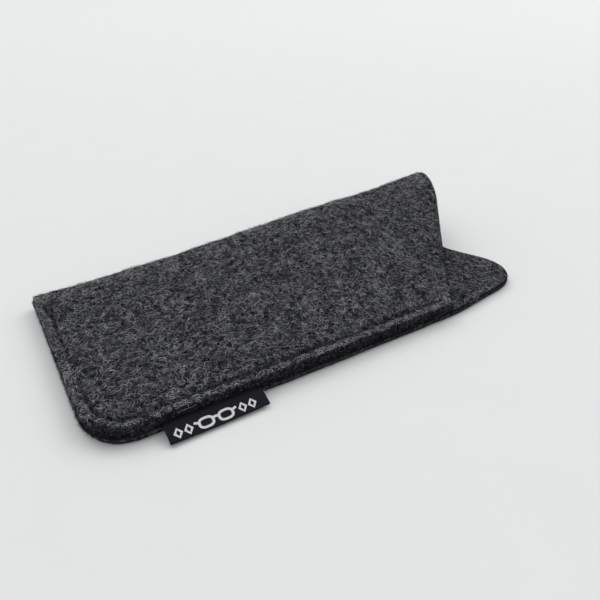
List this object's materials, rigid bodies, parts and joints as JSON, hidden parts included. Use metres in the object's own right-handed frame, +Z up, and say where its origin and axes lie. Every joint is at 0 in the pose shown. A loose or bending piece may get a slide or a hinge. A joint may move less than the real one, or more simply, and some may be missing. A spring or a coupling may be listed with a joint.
{
  "type": "glasses case",
  "caption": "Soft open-ended glasses sleeve: one wool felt blank folded along a long side, lockstitched along the end and the near side, with a slanted mouth, a thumb tab and a ribbon label.",
  "frame": {"origin": "middle of the footprint of the whole sleeve with its label, on the surface that the sleeve lies on", "axes": "+X along the sleeve from the closed end to the mouth, +Y from the sewn near side to the fold, +Z up"},
  "size_m": [0.1636, 0.0856, 0.0244],
  "materials": {
    "felt": "mottled charcoal wool felt",
    "thread": "matte black polyester sewing thread",
    "label": "near-black navy satin-woven ribbon"
  },
  "bodies": {
    "case": {"felt_blank": "felt", "needle_thread": "thread", "bobbin_thread": "thread", "label_ends": "label"},
    "label": {"label_loop": "label"}
  },
  "joints": [
    {"name": "label_flap", "type": "hinge", "parent": "case", "child": "label", "pos_m": [-0.04835, -0.03778, 0.0031], "axis": [-1, 0, 0], "range_deg": [-10, 110]}
  ]
}
